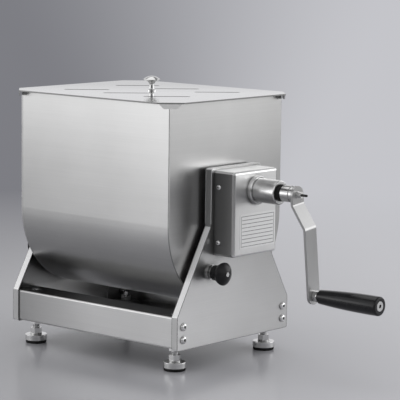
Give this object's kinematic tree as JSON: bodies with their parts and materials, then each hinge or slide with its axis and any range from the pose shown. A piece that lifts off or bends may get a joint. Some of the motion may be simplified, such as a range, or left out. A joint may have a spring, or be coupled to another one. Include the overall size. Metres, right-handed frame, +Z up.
{
  "type": "manual meat mixer",
  "caption": "Tilting stainless steel meat mixer on a levelling stand, with slotted lid, twisted paddles, spur gear drive, hand crank and index plungers.",
  "frame": {"origin": "middle of the whole machine's footprint at floor level", "axes": "+X along the mixing shaft towards the crank, -Y towards the front, +Z up"},
  "size_m": [0.7188, 0.3332, 0.4813],
  "materials": {
    "stand_steel": "brushed, satin",
    "tank_steel": "brushed, satin",
    "lid_steel": "brushed, satin",
    "knob_steel": "polished",
    "cover_steel": "fine brushed",
    "bracket_steel": "mill finish",
    "bearing_steel": "turned, satin",
    "crank_steel": "polished",
    "shaft_steel": "turned",
    "paddle_steel": "satin",
    "gear_steel": "machined",
    "screw_steel": "bright",
    "foot_chrome": "polished",
    "foot_rubber": "matt",
    "bush_plastic": "matt",
    "seal_rubber": "matt",
    "grip_plastic": "smooth, half gloss",
    "plunger_plastic": "matt",
    "plunger_steel": "turned"
  },
  "bodies": {
    "stand": {"left_side_plate": "stand_steel", "right_side_plate": "stand_steel", "front_rail": "stand_steel", "rear_rail": "stand_steel", "rail_screws": "screw_steel", "rail_screw_nuts": "screw_steel", "foot_nuts": "screw_steel", "trunnion_bushes": "bush_plastic", "shaft_end_cap": "cover_steel", "cap_screws": "screw_steel", "gearbox_bracket": "bracket_steel", "gearbox_cover": "cover_steel", "gearbox_screws": "screw_steel", "bearing_tube": "bearing_steel", "bearing_ring_nut": "bearing_steel", "crank_seal": "seal_rubber", "crank_bushes": "bush_plastic", "plunger_sleeves": "plunger_steel", "plunger_lock_rings": "plunger_steel"},
    "tank": {"tank_shell": "tank_steel", "tank_end_left": "tank_steel", "tank_end_right": "tank_steel", "trunnions": "shaft_steel", "shaft_bushes": "bush_plastic", "shaft_seals": "seal_rubber"},
    "lid": {"lid_plate": "lid_steel", "lid_knob": "knob_steel", "lid_knob_screw": "screw_steel"},
    "mixer": {"mixing_shaft": "shaft_steel", "paddle_1": "paddle_steel", "paddle_2": "paddle_steel", "paddle_3": "paddle_steel", "paddle_4": "paddle_steel", "paddle_set_screws": "screw_steel", "wheel_gear": "gear_steel", "wheel_key": "shaft_steel", "wheel_ring": "shaft_steel"},
    "crank": {"crank_shaft": "shaft_steel", "pinion_gear": "gear_steel", "pinion_key": "shaft_steel", "crank_hub": "crank_steel", "crank_arm": "crank_steel", "hub_stud": "screw_steel", "hub_washer": "screw_steel", "hub_nut": "screw_steel", "grip_bolt": "screw_steel", "grip_nut": "screw_steel"},
    "grip": {"grip": "grip_plastic"},
    "plunger_left": {"index_pin_left": "plunger_steel", "plunger_knob_left": "plunger_plastic"},
    "plunger_right": {"index_pin_right": "plunger_steel", "plunger_knob_right": "plunger_plastic"},
    "foot_front_left": {"levelling_foot_front_left": "foot_chrome", "foot_pad_front_left": "foot_rubber"},
    "foot_front_right": {"levelling_foot_front_right": "foot_chrome", "foot_pad_front_right": "foot_rubber"},
    "foot_rear_left": {"levelling_foot_rear_left": "foot_chrome", "foot_pad_rear_left": "foot_rubber"},
    "foot_rear_right": {"levelling_foot_rear_right": "foot_chrome", "foot_pad_rear_right": "foot_rubber"}
  },
  "joints": [
    {"name": "tank_tilt", "type": "hinge", "parent": "stand", "child": "tank", "pos_m": [-0.1271, 0, 0.246], "axis": [1, 0, 0], "range_deg": [0, 90]},
    {"name": "lid_lift", "type": "slide", "parent": "tank", "child": "lid", "axis": [0, 0, 1], "range_m": [0, 0.06]},
    {"name": "shaft_spin", "type": "hinge", "parent": "stand", "child": "mixer", "pos_m": [-0.1271, 0, 0.246], "axis": [1, 0, 0], "continuous": true},
    {"name": "crank_spin", "type": "hinge", "parent": "stand", "child": "crank", "pos_m": [-0.1271, 0, 0.303], "axis": [1, 0, 0], "continuous": true},
    {"name": "grip_spin", "type": "hinge", "parent": "crank", "child": "grip", "pos_m": [0.2347, 0.02025, 0.1332], "axis": [1, 0, 0], "continuous": true},
    {"name": "plunger_left_slide", "type": "slide", "parent": "stand", "child": "plunger_left", "axis": [-1, 0, 0], "range_m": [-0.006, 0]},
    {"name": "plunger_right_slide", "type": "slide", "parent": "stand", "child": "plunger_right", "axis": [1, 0, 0], "range_m": [-0.006, 0]},
    {"name": "foot_front_left_height", "type": "slide", "parent": "stand", "child": "foot_front_left", "axis": [0, 0, 1], "range_m": [-0.012, 0.004]},
    {"name": "foot_front_right_height", "type": "slide", "parent": "stand", "child": "foot_front_right", "axis": [0, 0, 1], "range_m": [-0.012, 0.004]},
    {"name": "foot_rear_left_height", "type": "slide", "parent": "stand", "child": "foot_rear_left", "axis": [0, 0, 1], "range_m": [-0.012, 0.004]},
    {"name": "foot_rear_right_height", "type": "slide", "parent": "stand", "child": "foot_rear_right", "axis": [0, 0, 1], "range_m": [-0.012, 0.004]}
  ],
  "couplings": [
    {"joint": "crank_spin", "follows": "shaft_spin", "ratio": -2.3529}
  ]
}
